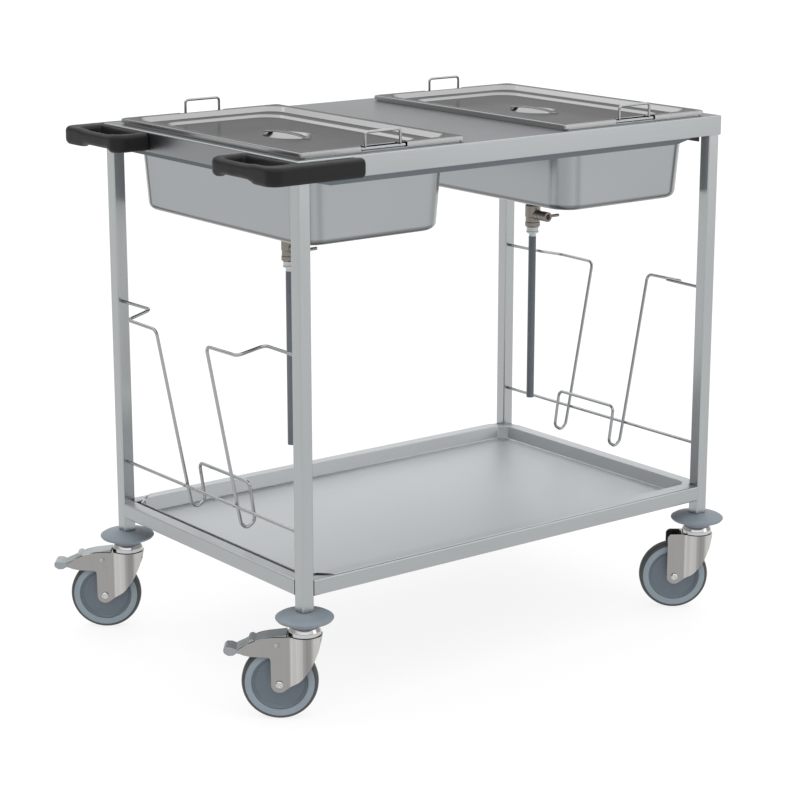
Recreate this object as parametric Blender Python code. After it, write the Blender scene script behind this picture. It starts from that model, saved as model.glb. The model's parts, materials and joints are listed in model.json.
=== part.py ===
"""Stainless ward trolley with two lidded, draining pans.

Metres, +Z up. +X runs along the trolley away from the push handles and +Y across it.
The floor is Z = 0. The origin is on the floor, under the middle of the outline
that the trolley makes with its castors parked.
"""
import math

import bmesh
import bpy
from mathutils import Matrix, Vector

# ---------------------------------------------------------------- driving sizes
TABLE_L = 0.912          # table top along X
TABLE_W = 0.578          # table top along Y
TABLE_H = 0.910          # top surface above the floor
TABLE_CX = 0.0309        # middle of the table in this frame
TABLE_CY = -0.0231
SHEET = 0.0015           # folded sheet metal
APRON = 0.034            # depth of the folded edge

LEG = 0.023              # square tube of the legs
TUBE_WALL = 0.0015
LEG_INSET = 0.003        # legs stand this far inside the table edge
LEG_FOOT_Z = 0.1815      # lower end of the leg tube
GAP = 0.0003             # clearance between touching pieces

RAIL_H = 0.027           # shelf rail
SHELF_Z = 0.2335         # top of the shelf rails
TRAY_DEPTH = 0.023       # tray floor below the rail tops

PAN_L = 0.530            # gastronorm 1/1 rim, along Y
PAN_W = 0.325            # gastronorm 1/1 rim, along X
PAN_DEPTH = 0.144
PAN_OFFSETS = {"1": (-0.2770, -0.0080), "2": (0.2635, -0.0080)}
RIM_T = 0.002            # pan rim lying on the table
LID_TOP = 0.0099         # lid flange above the table

HANDLE_OUT = 0.066       # push handle beyond the table end
HANDLE_SIDE = 0.028      # push handle beyond the table side
HANDLE_H = 0.030
HANDLE_INNER = 0.150     # inner edge of the handle loop, from the table side
HANDLE_WRAP = 0.112      # the side arm runs this far along the apron

WHEEL_R = 0.0625
CASTOR_TRAIL = 0.0407    # axle behind the swivel
CASTOR_ANGLE = math.radians(142.0)   # parked direction of all four wheels

PEDAL_PIVOT = (0.0434, 0.1294)       # behind the swivel and above the floor

VALVE_Z = -0.1935        # middle of the drain cock, from the table top
HOSE_D = 0.0138
HOSE_TOP = 0.2345        # below the table top
HOSE_BOTTOM = 0.5370

WIRE_R = 0.0029          # rack wire
BAIL_R = 0.0023          # pan handle wire
BARREL_R = 0.0028        # hinge barrel welded on the pan rim
BAIL_Y = PAN_L / 2 - 0.0045
BAIL_Z = GAP + RIM_T + BARREL_R - 0.0004     # barrel axis above the table top

HALF_L = TABLE_L / 2
HALF_W = TABLE_W / 2
LEG_X = HALF_L - LEG_INSET - LEG / 2
LEG_Y = HALF_W - LEG_INSET - LEG / 2
CORNERS = {
    "handle_end_far": (-1, 1),
    "handle_end_near": (-1, -1),
    "far_end_far": (1, 1),
    "far_end_near": (1, -1),
}
BRAKED = ("handle_end_far", "handle_end_near")
ALONG_Y = Matrix.Rotation(math.radians(-90), 4, "X")

for old in list(bpy.data.objects):
    bpy.data.objects.remove(old, do_unlink=True)


# ---------------------------------------------------------------- materials
def material(name, colour, roughness, metallic):
    """A Principled material of one colour."""
    made = bpy.data.materials.new(name)
    made.use_nodes = True
    shader = made.node_tree.nodes["Principled BSDF"]
    shader.inputs["Base Color"].default_value = (*colour, 1.0)
    shader.inputs["Roughness"].default_value = roughness
    shader.inputs["Metallic"].default_value = metallic
    return made


STEEL = material("brushed_stainless", (0.62, 0.64, 0.65), 0.32, 1.0)
LID_STEEL = material("lid_stainless", (0.45, 0.45, 0.45), 0.30, 1.0)
WIRE = material("wire_stainless", (0.60, 0.61, 0.61), 0.25, 1.0)
CASTOR_STEEL = material("castor_zinc", (0.62, 0.60, 0.58), 0.25, 1.0)
POLISHED = material("polished_steel", (0.80, 0.80, 0.80), 0.10, 1.0)
BLACK = material("black_moulding", (0.018, 0.018, 0.018), 0.55, 0.0)
BUMPER = material("grey_bumper", (0.23, 0.27, 0.32), 0.60, 0.0)
TYRE = material("grey_tyre", (0.28, 0.33, 0.37), 0.65, 0.0)
HUB = material("grey_hub", (0.17, 0.21, 0.25), 0.50, 0.0)
NICKEL = material("valve_nickel", (0.46, 0.43, 0.39), 0.35, 1.0)
CLEAR = material("hose_tail_plastic", (0.75, 0.77, 0.77), 0.30, 0.0)
HOSE = material("grey_hose", (0.12, 0.15, 0.17), 0.50, 0.0)


# ---------------------------------------------------------------- mesh helpers
def finish(name, bm, mat, smooth=False, parent=None):
    """Turn a bmesh into a named object with outward normals."""
    bmesh.ops.recalc_face_normals(bm, faces=bm.faces)
    mesh = bpy.data.meshes.new(name)
    bm.to_mesh(mesh)
    bm.free()
    mesh.materials.append(mat)
    if smooth:
        mesh.shade_smooth()
        mesh.set_sharp_from_angle(angle=math.radians(40))
    obj = bpy.data.objects.new(name, mesh)
    bpy.context.collection.objects.link(obj)
    if parent:
        obj.parent = parent
    return obj


def empty(name, location, angle=0.0, parent=None):
    """An empty that carries a group of pieces or marks a joint axis."""
    made = bpy.data.objects.new(name, None)
    made.location = location
    made.rotation_euler = (0.0, 0.0, angle)
    made.parent = parent
    bpy.context.collection.objects.link(made)
    return made


def add_box(bm, low, high):
    """Add an axis-aligned box to a bmesh."""
    low, high = Vector(low), Vector(high)
    place = Matrix.Translation((low + high) / 2) @ Matrix.Diagonal((*(high - low), 1.0))
    bmesh.ops.create_cube(bm, size=1.0, matrix=place)


def boxes(name, spans, mat, parent=None):
    """One object made of separate boxes."""
    bm = bmesh.new()
    for low, high in spans:
        add_box(bm, low, high)
    return finish(name, bm, mat, parent=parent)


def loft(bm, rings, closed=False):
    """Bridge rings of equal length; cap both ends, or join the last to the first."""
    loops = [[bm.verts.new(point) for point in ring] for ring in rings]
    count = len(loops[0])
    pairs = list(zip(loops, loops[1:]))
    if closed:
        pairs.append((loops[-1], loops[0]))
    for lower, upper in pairs:
        for i in range(count):
            j = (i + 1) % count
            bm.faces.new((lower[i], lower[j], upper[j], upper[i]))
    if not closed:
        bm.faces.new(list(reversed(loops[0])))
        bm.faces.new(loops[-1])


def rounded_ring(cx, cy, half_x, half_y, radius, z, steps=4):
    """A rounded rectangle as a ring of points, counter-clockwise."""
    ring = []
    for quarter, (sx, sy) in enumerate(((1, 1), (-1, 1), (-1, -1), (1, -1))):
        mid = (cx + sx * (half_x - radius), cy + sy * (half_y - radius))
        for step in range(steps + 1):
            angle = math.pi / 2 * (quarter + step / steps)
            ring.append((mid[0] + radius * math.cos(angle), mid[1] + radius * math.sin(angle), z))
    return ring


def turned(name, profile, mat, place=None, segments=24, parent=None, closed=False):
    """Turn a profile of (radius, height) about Z, then place it."""
    bm = bmesh.new()
    rings = []
    for radius, height in profile:
        rings.append([
            (radius * math.cos(math.tau * i / segments),
             radius * math.sin(math.tau * i / segments), height)
            for i in range(segments)
        ])
    loft(bm, rings, closed)
    if place is not None:
        bmesh.ops.transform(bm, matrix=place, verts=bm.verts)
    return finish(name, bm, mat, smooth=True, parent=parent)


def prism(bm, outline, low, high, axis="Z"):
    """Extrude a 2D outline between two heights along Z, or along Y for an XZ outline."""
    def at(point, height):
        if axis == "Y":
            return (point[0], height, point[1])
        return (point[0], point[1], height)
    loft(bm, [[at(p, low) for p in outline], [at(p, high) for p in outline]])


def boolean(obj, cutter, operation="DIFFERENCE"):
    """Cut, join or intersect one object with another, which stays as a hidden guide."""
    modifier = obj.modifiers.new("boolean", "BOOLEAN")
    modifier.operation = operation
    modifier.object = cutter
    modifier.solver = "EXACT"
    cutter.hide_render = True
    cutter.display_type = "WIRE"


def arc(centre, radius, start, end, steps):
    """Points on a circular arc, angles in degrees."""
    return [
        (centre[0] + radius * math.cos(math.radians(start + (end - start) * i / steps)),
         centre[1] + radius * math.sin(math.radians(start + (end - start) * i / steps)))
        for i in range(steps + 1)
    ]


def rounded_path(points, radius, steps=3):
    """Replace each inner corner of a 3D polyline by a short curve."""
    points = [Vector(p) for p in points]
    path = [points[0]]
    for before, corner, after in zip(points, points[1:], points[2:]):
        back = (before - corner).normalized()
        ahead = (after - corner).normalized()
        reach = min(radius, (before - corner).length * 0.45, (after - corner).length * 0.45)
        start, end = corner + back * reach, corner + ahead * reach
        for i in range(steps + 1):
            t = i / steps
            path.append(start.lerp(corner, t).lerp(corner.lerp(end, t), t))
    path.append(points[-1])
    return path


def tube_rings(points, radius, sides):
    """Rings of a round wire along a polyline, carried from one bend to the next without twist."""
    points = [Vector(p) for p in points]
    ahead = (points[1] - points[0]).normalized()
    side = ahead.orthogonal().normalized()
    rings = []
    for i, point in enumerate(points):
        before = (point - points[i - 1]).normalized() if i else ahead
        after = (points[i + 1] - point).normalized() if i + 1 < len(points) else before
        heading = (before + after).normalized()
        side = (side - heading * side.dot(heading)).normalized()
        up = heading.cross(side)
        stretch = 1.0 / max(heading.dot(before), 0.5)
        hinge = before.cross(after)
        flat = hinge.normalized() if hinge.length > 1e-6 else up
        across = heading.cross(flat)
        ring = []
        for k in range(sides):
            angle = math.tau * k / sides
            offset = (side * math.cos(angle) + up * math.sin(angle)) * radius
            ring.append(point + offset + across * offset.dot(across) * (stretch - 1.0))
        rings.append(ring)
    return rings


def wire(name, points, radius, mat, parent=None, sides=8):
    """A round steel wire bent along points."""
    bm = bmesh.new()
    loft(bm, tube_rings(points, radius, sides))
    return finish(name, bm, mat, smooth=True, parent=parent)


def hose(name, points, radius, mat, parent=None, resolution=2):
    """A flexible hose along points, with filled ends."""
    curve = bpy.data.curves.new(name, "CURVE")
    curve.dimensions = "3D"
    curve.bevel_depth = radius
    curve.bevel_resolution = resolution
    curve.use_fill_caps = True
    spline = curve.splines.new("POLY")
    spline.points.add(len(points) - 1)
    for point, co in zip(spline.points, points):
        point.co = (*co, 1.0)
    curve.materials.append(mat)
    obj = bpy.data.objects.new(name, curve)
    bpy.context.collection.objects.link(obj)
    obj.parent = parent
    return obj


# ---------------------------------------------------------------- table and frame
table = empty("table_centre", (TABLE_CX, TABLE_CY, TABLE_H))


def table_top():
    """Folded top: a sheet with two pan openings and an apron all round."""
    bm = bmesh.new()
    loft(bm, [
        rounded_ring(0, 0, HALF_L - SHEET, HALF_W - SHEET, 0.002, -SHEET, 2),
        rounded_ring(0, 0, HALF_L - SHEET, HALF_W - SHEET, 0.002, -APRON, 2),
        rounded_ring(0, 0, HALF_L, HALF_W, 0.003, -APRON, 2),
        rounded_ring(0, 0, HALF_L, HALF_W, 0.003, -0.002, 2),
        rounded_ring(0, 0, HALF_L - 0.0015, HALF_W - 0.0015, 0.003, 0.0, 2),
    ])
    top = finish("table_top", bm, STEEL, parent=table)
    for key, (x, y) in PAN_OFFSETS.items():
        bm = bmesh.new()
        loft(bm, [rounded_ring(x, y, PAN_W / 2 - 0.0105, PAN_L / 2 - 0.0105, 0.042, z) for z in (-0.02, 0.02)])
        boolean(top, finish(f"pan_opening_{key}", bm, STEEL, parent=table))


def top_frame():
    """A flat bar on edge, welded into a ring under the top, just inside the legs."""
    low, high = -0.0475, -SHEET - GAP
    x_out, y_out = LEG_X - LEG / 2 - GAP, LEG_Y - LEG / 2 - GAP
    bar = 0.0016
    rings = [rounded_ring(0, 0, x_out - inset, y_out - inset, 0.003, z, 1)
             for inset, z in ((0.0, low), (0.0, high), (bar, high), (bar, low))]
    bm = bmesh.new()
    loft(bm, rings, closed=True)
    finish("top_frame", bm, STEEL, parent=table)


def sorted_span(a, b):
    """The low and high corners of the box between two points."""
    return tuple(map(min, a, b)), tuple(map(max, a, b))


def legs():
    """Four square tubes with softened edges, from the table top down to the castors."""
    for name, (sx, sy) in CORNERS.items():
        bm = bmesh.new()
        low, high = LEG_FOOT_Z - TABLE_H, -SHEET - GAP
        half = LEG / 2
        x, y = sx * LEG_X, sy * LEG_Y
        outside = [rounded_ring(x, y, half, half, 0.0025, z, 2) for z in (low, high)]
        inside = [rounded_ring(x, y, half - TUBE_WALL, half - TUBE_WALL, 0.001, z, 2) for z in (high, low)]
        loft(bm, outside + inside, closed=True)
        finish(f"leg_{name}", bm, STEEL, parent=table)


def shelf():
    """Lower shelf: four rails between the legs and a folded tray lying in them."""
    top = SHELF_Z - TABLE_H
    low = top - RAIL_H
    x_leg, y_leg = LEG_X - LEG / 2 - GAP, LEG_Y - LEG / 2 - GAP
    x_out, y_out = LEG_X + LEG / 2, LEG_Y + LEG / 2
    for name, s in (("near", -1), ("far", 1)):
        ends = [(x, s * LEG_Y) for x in (-x_leg, x_leg)]
        box_tube(f"shelf_rail_{name}_side", ends, low, top)
    for name, s in (("handle", -1), ("far", 1)):
        ends = [(s * LEG_X, y) for y in (-y_leg, y_leg)]
        box_tube(f"shelf_rail_{name}_end", ends, low, top)

    floor = top - TRAY_DEPTH
    lip = top + GAP + SHEET
    x0, x1 = -(x_out - LEG - 0.0025), x_out - LEG - 0.001
    y1 = y_out - LEG - 0.001
    cut = 0.014                       # corner of the tray cut back around each leg
    flange_x, flange_y = x_out - 0.002, y_out - 0.002

    def outline(left, right, side, corner, z):
        """Ring with cut corners, from the right side counter-clockwise."""
        return [
            (right, -side + corner, z), (right, side - corner, z),
            (right - corner, side, z), (left + corner, side, z),
            (left, side - corner, z), (left, -side + corner, z),
            (left + corner, -side, z), (right - corner, -side, z),
        ]
    bm = bmesh.new()
    lip_cut = LEG + cut + 0.004
    rings = [
        outline(x0 + SHEET, x1 - SHEET, y1 - SHEET, cut, floor + SHEET),
        outline(x0 + SHEET, x1 - SHEET, y1 - SHEET, cut, lip),
        outline(x0, flange_x, flange_y, lip_cut, lip),
        outline(x0, flange_x, flange_y, lip_cut, top + GAP),
        outline(x0, x1, y1, cut, top + GAP),
        outline(x0, x1, y1, cut, floor),
    ]
    loft(bm, rings)
    finish("shelf_tray", bm, STEEL, parent=table)


def box_tube(name, ends, low, high):
    """A level rectangular tube, open at both ends, between two points in plan."""
    along = (Vector(ends[1]) - Vector(ends[0])).normalized()
    across = Vector((-along.y, along.x))

    def section(end, inset):
        half = LEG / 2 - inset
        corners = ((-half, low + inset), (half, low + inset), (half, high - inset), (-half, high - inset))
        return [(end[0] + across.x * side, end[1] + across.y * side, z) for side, z in corners]
    bm = bmesh.new()
    outside = [section(end, 0.0) for end in ends]
    inside = [section(end, TUBE_WALL) for end in reversed(ends)]
    loft(bm, outside + inside, closed=True)
    finish(name, bm, STEEL, parent=table)


# ---------------------------------------------------------------- push handles
def push_handles():
    """Two black loops at one end, each with an arm wrapped along the table side."""
    top = -0.0022
    for name, side in (("near", -1), ("far", 1)):
        y_outer = HALF_W + HANDLE_SIDE
        y_inner = HALF_W - HANDLE_INNER
        x_end = -HALF_L - HANDLE_OUT
        x_arm = -HALF_L + HANDLE_WRAP
        face_x, face_y = -HALF_L - GAP, HALF_W + GAP
        corner, tail = 0.020, 0.006
        outline = [(face_x, y_inner)]
        outline += arc((x_end + corner, y_inner + corner), corner, 270, 180, 4)
        outline += arc((x_end + corner, y_outer - corner), corner, 180, 90, 4)
        outline += arc((x_arm - tail, y_outer - tail), tail, 90, 0, 4)
        outline += [(x_arm, face_y), (face_x, face_y)]
        outline = [(x, side * y) for x, y in outline]
        bm = bmesh.new()
        prism(bm, outline, top - HANDLE_H, top)
        flat = [e for e in bm.edges
                if abs(e.verts[0].co.z - e.verts[1].co.z) < 1e-6 and on_outside(e, face_x, face_y)]
        bmesh.ops.bevel(bm, geom=flat, offset=0.007, segments=2, affect="EDGES", profile=0.5)
        handle = finish(f"push_handle_{name}", bm, BLACK, smooth=True, parent=table)
        bm = bmesh.new()
        mid_x, half_x = -HALF_L - 0.030, 0.020
        mid_y, half_y = side * (HALF_W - 0.068), 0.060
        loft(bm, [rounded_ring(mid_x, mid_y, half_x, half_y, 0.012, z, 3) for z in (-0.05, 0.02)])
        boolean(handle, finish(f"handle_loop_{name}", bm, BLACK, parent=table))


def on_outside(edge, face_x, face_y):
    """True for an edge that doesn't lie against the table's end or side face."""
    for flat_axis, limit in ((0, face_x), (1, face_y)):
        places = [abs(v.co[flat_axis]) for v in edge.verts]
        if all(abs(place - abs(limit)) < 1e-5 for place in places):
            return False
    return True


# ---------------------------------------------------------------- pans and lids
def pan(key):
    """A deep drawn pan with a flat rim, tapered sides and a drain hole in its floor."""
    x, y = PAN_OFFSETS[key]
    group = empty(f"pan_{key}_centre", (x, y, 0.0), parent=table)
    bm = bmesh.new()
    t = 0.0012
    half_x, half_y = PAN_W / 2, PAN_L / 2
    wall_x, wall_y = half_x - 0.0125, half_y - 0.0125
    base_x, base_y = wall_x - 0.008, wall_y - 0.008
    low = -PAN_DEPTH
    hole = 0.0095

    def circle(radius, z):
        return rounded_ring(0, 0, radius, radius, radius, z)
    rings = [
        rounded_ring(0, 0, half_x - 0.001, half_y - 0.001, 0.010, GAP),
        rounded_ring(0, 0, half_x - 0.001, half_y - 0.001, 0.010, GAP + RIM_T),
        rounded_ring(0, 0, wall_x, wall_y, 0.044, GAP + RIM_T),
        rounded_ring(0, 0, wall_x - t, wall_y - t, 0.043, -0.002),
        rounded_ring(0, 0, base_x - t, base_y - t, 0.043, low + 0.016),
        rounded_ring(0, 0, base_x - 0.004, base_y - 0.004, 0.039, low + 0.005),
        rounded_ring(0, 0, base_x - 0.013, base_y - 0.013, 0.030, low + t),
        circle(hole, low + t),
        circle(hole, low),
        rounded_ring(0, 0, base_x - 0.0125, base_y - 0.0125, 0.031, low),
        rounded_ring(0, 0, base_x - 0.003, base_y - 0.003, 0.040, low + 0.004),
        rounded_ring(0, 0, base_x, base_y, 0.044, low + 0.0155),
        rounded_ring(0, 0, wall_x, wall_y, 0.044, -0.004),
        rounded_ring(0, 0, wall_x + 0.001, wall_y + 0.001, 0.044, GAP),
    ]
    loft(bm, rings, closed=True)
    shell = finish(f"pan_{key}", bm, STEEL, smooth=True, parent=group)

    for name, side in (("near", -1), ("far", 1)):
        bm = bmesh.new()
        ends = [(px, side * BAIL_Y, BAIL_Z) for px in (-0.044, 0.044)]
        loft(bm, tube_rings(ends, BARREL_R, 10))
        boolean(shell, finish(f"bail_barrel_{key}_{name}", bm, STEEL, parent=group), "UNION")
        hinge = empty(f"bail_axis_{key}_{name}", (0.0, side * BAIL_Y, BAIL_Z), parent=group)
        foot = BARREL_R + GAP
        path = [(-0.0347, 0, foot), (-0.0347, 0, 0.0265), (0.0347, 0, 0.0265), (0.0347, 0, foot)]
        wire(f"bail_{key}_{name}", rounded_path(path, 0.006), BAIL_R, WIRE, parent=hinge)
    drain(key, group)
    lid(key, group)


def lid(key, group):
    """A pressed lid with two stepped levels, a finger dish and a grip bar."""
    half_x, half_y = PAN_W / 2, PAN_L / 2
    t = 0.0012
    skirt = GAP + RIM_T + GAP
    level1, level2 = LID_TOP - 0.009, LID_TOP - 0.014
    dish = LID_TOP - 0.034

    def oval(rx, ry, z):
        return [(rx * math.cos(a), ry * math.sin(a), z) for a in
                (math.pi / 2 * (q + s / 4) for q in range(4) for s in range(5))]

    def ring(inset, radius, z):
        return rounded_ring(0, 0, half_x - inset, half_y - inset, radius, z)
    surface = [
        ring(0.0, 0.003, skirt), ring(0.0, 0.003, LID_TOP - 0.001), ring(0.001, 0.003, LID_TOP),
        ring(0.014, 0.030, LID_TOP), ring(0.020, 0.034, level1),
        ring(0.044, 0.040, level1), ring(0.048, 0.040, level2),
    ]
    outer = surface + [oval(0.040, 0.050, level2), oval(0.030, 0.040, dish + 0.006), oval(0.018, 0.026, dish)]
    inner = [
        ring(t, 0.003, skirt), ring(t, 0.003, LID_TOP - t),
        ring(0.0134, 0.030, LID_TOP - t), ring(0.0194, 0.034, level1 - t),
        ring(0.0434, 0.040, level1 - t), ring(0.0474, 0.040, level2 - t),
        oval(0.0406, 0.0506, level2 - t), oval(0.0304, 0.0404, dish + 0.005), oval(0.018, 0.026, dish - t),
    ]
    bm = bmesh.new()
    loft(bm, list(reversed(inner)) + outer)
    cover = finish(f"lid_{key}", bm, LID_STEEL, smooth=True, parent=group)
    notch = 0.0455
    spans = [sorted_span((-notch, side * (half_y - 0.0100), -0.02), (notch, side * (half_y + 0.01), 0.03))
             for side in (-1, 1)]
    cutter = boxes(f"bail_notch_{key}", spans, LID_STEEL, parent=group)
    boolean(cover, cutter)

    # grip bar bridging the dish along Y, its feet spot welded to the lid
    top = level2 - 0.0004
    section = [(-0.0045, 0), (0.0045, 0), (0.0032, 0.0022), (-0.0032, 0.0022)]
    stations = [(-0.062, 0.0), (-0.050, 0.0), (-0.036, 0.0034), (0.036, 0.0034), (0.050, 0.0), (0.062, 0.0)]
    bm = bmesh.new()
    loft(bm, [[(sx, py, top + lift + sz) for sx, sz in section] for py, lift in stations])
    boolean(cover, finish(f"lid_grip_{key}", bm, LID_STEEL, parent=group), "UNION")


# ---------------------------------------------------------------- drain cock
def drain(key, group):
    """Strainer, cock, lever, hose tail and hose under the middle of a pan."""
    floor = -PAN_DEPTH
    turned(f"drain_strainer_{key}", [
        (0.0060, floor - 0.0080), (0.0085, floor - 0.0080), (0.0085, floor + 0.0015),
        (0.0180, floor + 0.0015), (0.0180, floor + 0.0035), (0.0060, floor + 0.0035),
    ], NICKEL, parent=group, closed=True, segments=12)
    body = turned(f"valve_body_{key}", [
        (0.0125, -0.2160), (0.0140, -0.2140), (0.0140, -0.1760), (0.0120, -0.1730),
        (0.0120, -0.1560), (0.0185, -0.1555), (0.0185, floor - GAP), (0.0092, floor - GAP),
        (0.0092, -0.1560), (0.0060, -0.1570), (0.0060, -0.2160),
    ], NICKEL, parent=group, closed=True, segments=16)
    bm = bmesh.new()
    arm = [[(radius * math.cos(a), y, VALVE_Z + radius * math.sin(a))
            for a in (math.tau * i / 12 for i in range(12))]
           for y, radius in ((-0.0120, 0.0085), (-0.0300, 0.0085))]
    loft(bm, arm)
    branch = finish(f"valve_branch_{key}", bm, NICKEL, parent=group)
    boolean(body, branch, "UNION")

    axis = empty(f"valve_lever_axis_{key}", (0.0, -0.0303, VALVE_Z), parent=group)
    bm = bmesh.new()
    cap = [[(radius * math.cos(a), y, radius * math.sin(a)) for a in (math.tau * i / 16 for i in range(16))]
           for y, radius in ((0.0, 0.0090), (-0.0110, 0.0090), (-0.0125, 0.0075))]
    loft(bm, cap)
    lever = finish(f"valve_lever_{key}", bm, NICKEL, smooth=True, parent=axis)
    bm = bmesh.new()
    pin = [[(x, -0.0058 + 0.0028 * math.cos(a), 0.0028 * math.sin(a))
            for a in (math.tau * i / 10 for i in range(10))] for x in (0.004, 0.031)]
    loft(bm, pin)
    stick = finish(f"valve_pin_{key}", bm, NICKEL, parent=axis)
    boolean(lever, stick, "UNION")

    shank = HOSE_D / 2 - 0.0006
    turned(f"hose_tail_{key}", [
        (0.0040, -0.2285), (0.0045, -0.2160 - GAP), (0.0115, -0.2160 - GAP), (0.0115, -0.2265),
        (0.0095, -0.2285), (shank, -0.2285), (shank, -HOSE_TOP + GAP), (0.0040, -HOSE_TOP + GAP),
    ], CLEAR, parent=group, closed=True, segments=14)
    steps = 9
    run = [(0.0, 0.0, -HOSE_TOP - (HOSE_BOTTOM - HOSE_TOP) * i / steps) for i in range(steps + 1)]
    hose(f"drain_hose_{key}", run, HOSE_D / 2, HOSE, parent=group)


# ---------------------------------------------------------------- wire racks
def racks():
    """A bent wire holder between the legs at each end, welded to a straight rod below."""
    for name, end in (("handle_end", -1), ("far_end", 1)):
        leg_x, leg_y = LEG_X, LEG_Y - LEG / 2 - GAP
        step_y, wire_y = 0.173, 0.0765
        half = [
            (leg_x, leg_y, -0.3105), (leg_x, step_y, -0.3095), (leg_x + 0.0495, step_y - 0.006, -0.3205),
            (leg_x + 0.0495, wire_y, -0.3215), (leg_x - 0.0052, wire_y, -0.6000),
            (leg_x - 0.0120, wire_y, -0.6330), (leg_x - 0.0235, wire_y, -0.6440),
            (leg_x - 0.0400, wire_y, -0.6330), (leg_x - 0.0300, wire_y, -0.5650),
        ]
        points = half + [(x, -y, z) for x, y, z in reversed(half)]
        points = [(end * x, y, z) for x, y, z in points]
        rack = wire(f"wire_rack_{name}", rounded_path(points, 0.012, 2), WIRE_R, WIRE, parent=table, sides=6)
        ends = [(end * leg_x, s * leg_y, -0.6005) for s in (-1, 1)]
        boolean(rack, wire(f"rack_rod_{name}", ends, WIRE_R - 0.0002, WIRE, table, 6), "UNION")


# ---------------------------------------------------------------- castors
def castor(name, braked):
    """A swivel castor under one leg: bumper disc, race, fork, axle, wheel and brake pedal."""
    sx, sy = CORNERS[name]
    axis = empty(f"castor_axis_{name}", (TABLE_CX + sx * LEG_X, TABLE_CY + sy * LEG_Y, 0.0), CASTOR_ANGLE)
    turned(f"bumper_disc_{name}", [
        (0.0235, 0.1563), (0.0290, 0.1620), (0.0450, 0.1672), (0.0488, 0.1715),
        (0.0410, 0.1762), (0.0170, LEG_FOOT_Z - GAP),
    ], BUMPER, parent=axis)
    turned(f"castor_race_{name}", [
        (0.0258, 0.1428), (0.0268, 0.1436), (0.0264, 0.1525), (0.0235, 0.1560),
    ], POLISHED, parent=axis, segments=20)
    crown = 0.1425
    outline = [(-0.0290, crown), (0.0300, crown)]     # side view of a fork cheek, behind the swivel
    if braked:
        outline += [(0.0520, 0.1425), (0.0705, 0.1398), (0.0890, 0.1322), (0.1080, 0.1210),
                    (0.1095, 0.1175), (0.0970, 0.1120), (0.0857, 0.1098), (0.0600, 0.1088)]
    else:
        outline += [(0.0490, crown), (0.0540, 0.1370)]
    outline += [(0.0545, 0.1040), (0.0540, 0.0675)]
    outline += arc((CASTOR_TRAIL, WHEEL_R - 0.0005), 0.0134, 0, -125, 5)
    outline += [(0.0050, 0.0715), (-0.0119, 0.0935), (-0.0232, 0.1186)]
    bm = bmesh.new()
    prism(bm, outline, -0.0300, 0.0300, axis="Y")
    fork = finish(f"castor_fork_{name}", bm, CASTOR_STEEL, parent=axis)
    cut_fork(fork, name, axis, crown)
    bolt(name, axis)
    wheel(name, axis)
    if braked:
        pedal(name, axis)


def fork_plan(radius, half, back):
    """Plan outline: a round crown about the swivel that runs into two straight cheeks."""
    meet = math.degrees(math.asin(half / radius))
    return arc((0.0, 0.0), radius, meet, 360 - meet, 16) + [(back, -half), (back, half)]


def cut_fork(fork, name, axis, crown):
    """Round the fork's front, hollow it for the wheel, open its back and bore its axle hole."""
    plate, radius = 0.0026, 0.0293
    bm = bmesh.new()
    prism(bm, fork_plan(radius, 0.0205, 0.130), 0.0, 0.2)
    boolean(fork, finish(f"fork_plan_{name}", bm, CASTOR_STEEL, parent=axis), "INTERSECT")
    bm = bmesh.new()
    prism(bm, fork_plan(radius - plate, 0.0205 - plate, 0.140), -0.01, crown - plate)
    boolean(fork, finish(f"fork_slot_{name}", bm, CASTOR_STEEL, parent=axis))
    bm = bmesh.new()
    add_box(bm, (0.0278, -0.0205 + plate, 0.10), (0.150, 0.0205 - plate, 0.16))
    boolean(fork, finish(f"fork_back_{name}", bm, CASTOR_STEEL, parent=axis))
    bm = bmesh.new()
    ring = [[(CASTOR_TRAIL + 0.0043 * math.cos(a), y, WHEEL_R + 0.0043 * math.sin(a))
             for a in (math.tau * i / 12 for i in range(12))] for y in (-0.03, 0.03)]
    loft(bm, ring)
    boolean(fork, finish(f"axle_bore_{name}", bm, CASTOR_STEEL, parent=axis))


def at_axle():
    """Turn a profile's axis onto the wheel axle in the castor's own frame."""
    return Matrix.Translation((CASTOR_TRAIL, 0.0, WHEEL_R)) @ ALONG_Y


def bolt(name, axis):
    """Axle bolt with a round head and a nut outside the fork."""
    face = 0.0205 + GAP
    turned(f"axle_bolt_{name}", [
        (0.0048, -face - 0.0035), (0.0062, -face - 0.0025), (0.0062, -face), (0.0040, -face),
        (0.0040, face), (0.0062, face), (0.0062, face + 0.0025), (0.0048, face + 0.0035),
    ], POLISHED, at_axle(), segments=12, parent=axis)


def wheel(name, axis):
    """Dished hub with a bore, and the tyre round it."""
    spin = empty(f"wheel_axis_{name}", (CASTOR_TRAIL, 0.0, WHEEL_R), parent=axis)
    hub = [(0.0042, -0.0165), (0.0120, -0.0165), (0.0135, -0.0085), (0.0400, -0.0085), (0.0455, -0.0120)]
    turned(f"wheel_hub_{name}", hub + [(r, -z) for r, z in reversed(hub)], HUB, ALONG_Y,
           segments=20, parent=spin, closed=True)
    side = [(0.0458, -0.0125), (0.0560, -0.0135), (0.0610, -0.0105), (WHEEL_R, -0.0050)]
    turned(f"tyre_{name}", side + [(r, -z) for r, z in reversed(side)], TYRE, ALONG_Y,
           segments=28, parent=spin, closed=True)


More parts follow.
